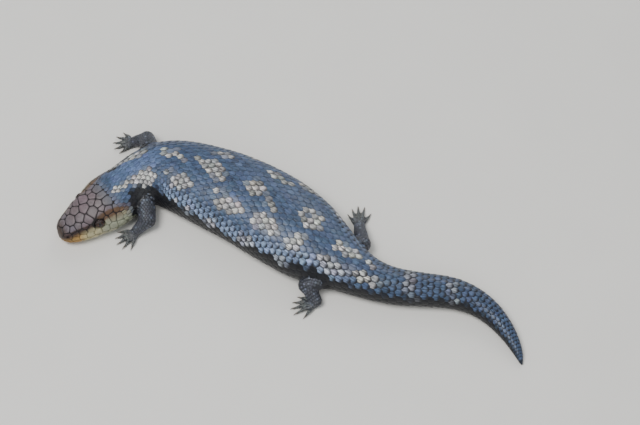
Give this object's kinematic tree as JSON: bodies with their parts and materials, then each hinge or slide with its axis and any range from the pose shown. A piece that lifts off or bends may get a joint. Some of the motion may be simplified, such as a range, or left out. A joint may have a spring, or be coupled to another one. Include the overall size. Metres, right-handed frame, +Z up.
{
  "type": "blue tongued skink",
  "caption": "Stout, short-legged lizard at rest with its body curved and its belly on the floor, at life size, as a still model.",
  "frame": {"origin": "centre of the whole animal's box, on the floor it lies on", "axes": "+Z up from the floor; the head is towards -X and the tail towards +X; -Y is the side seen in the picture"},
  "size_m": [0.3432, 0.1995, 0.037],
  "materials": {
    "head_shields": "satin horn plates, pinkish grey-brown",
    "scaled_skin": "satin scaled skin, slate blue-grey with pale blotches",
    "limb_skin": "satin scaled skin, dark slate",
    "eyes": "wet and glossy, dark reddish brown"
  },
  "bodies": {
    "root": {"head": "head_shields", "eye_left": "eyes", "eye_right": "eyes", "neck": "scaled_skin", "torso_front": "scaled_skin", "torso_rear": "scaled_skin", "tail_root": "scaled_skin", "tail_middle": "scaled_skin", "tail_end": "scaled_skin", "leg_front_left": "limb_skin", "leg_front_right": "limb_skin", "leg_hind_left": "limb_skin", "leg_hind_right": "limb_skin", "foot_front_left": "limb_skin", "foot_front_right": "limb_skin", "foot_hind_left": "limb_skin", "foot_hind_right": "limb_skin"}
  },
  "joints": []
}
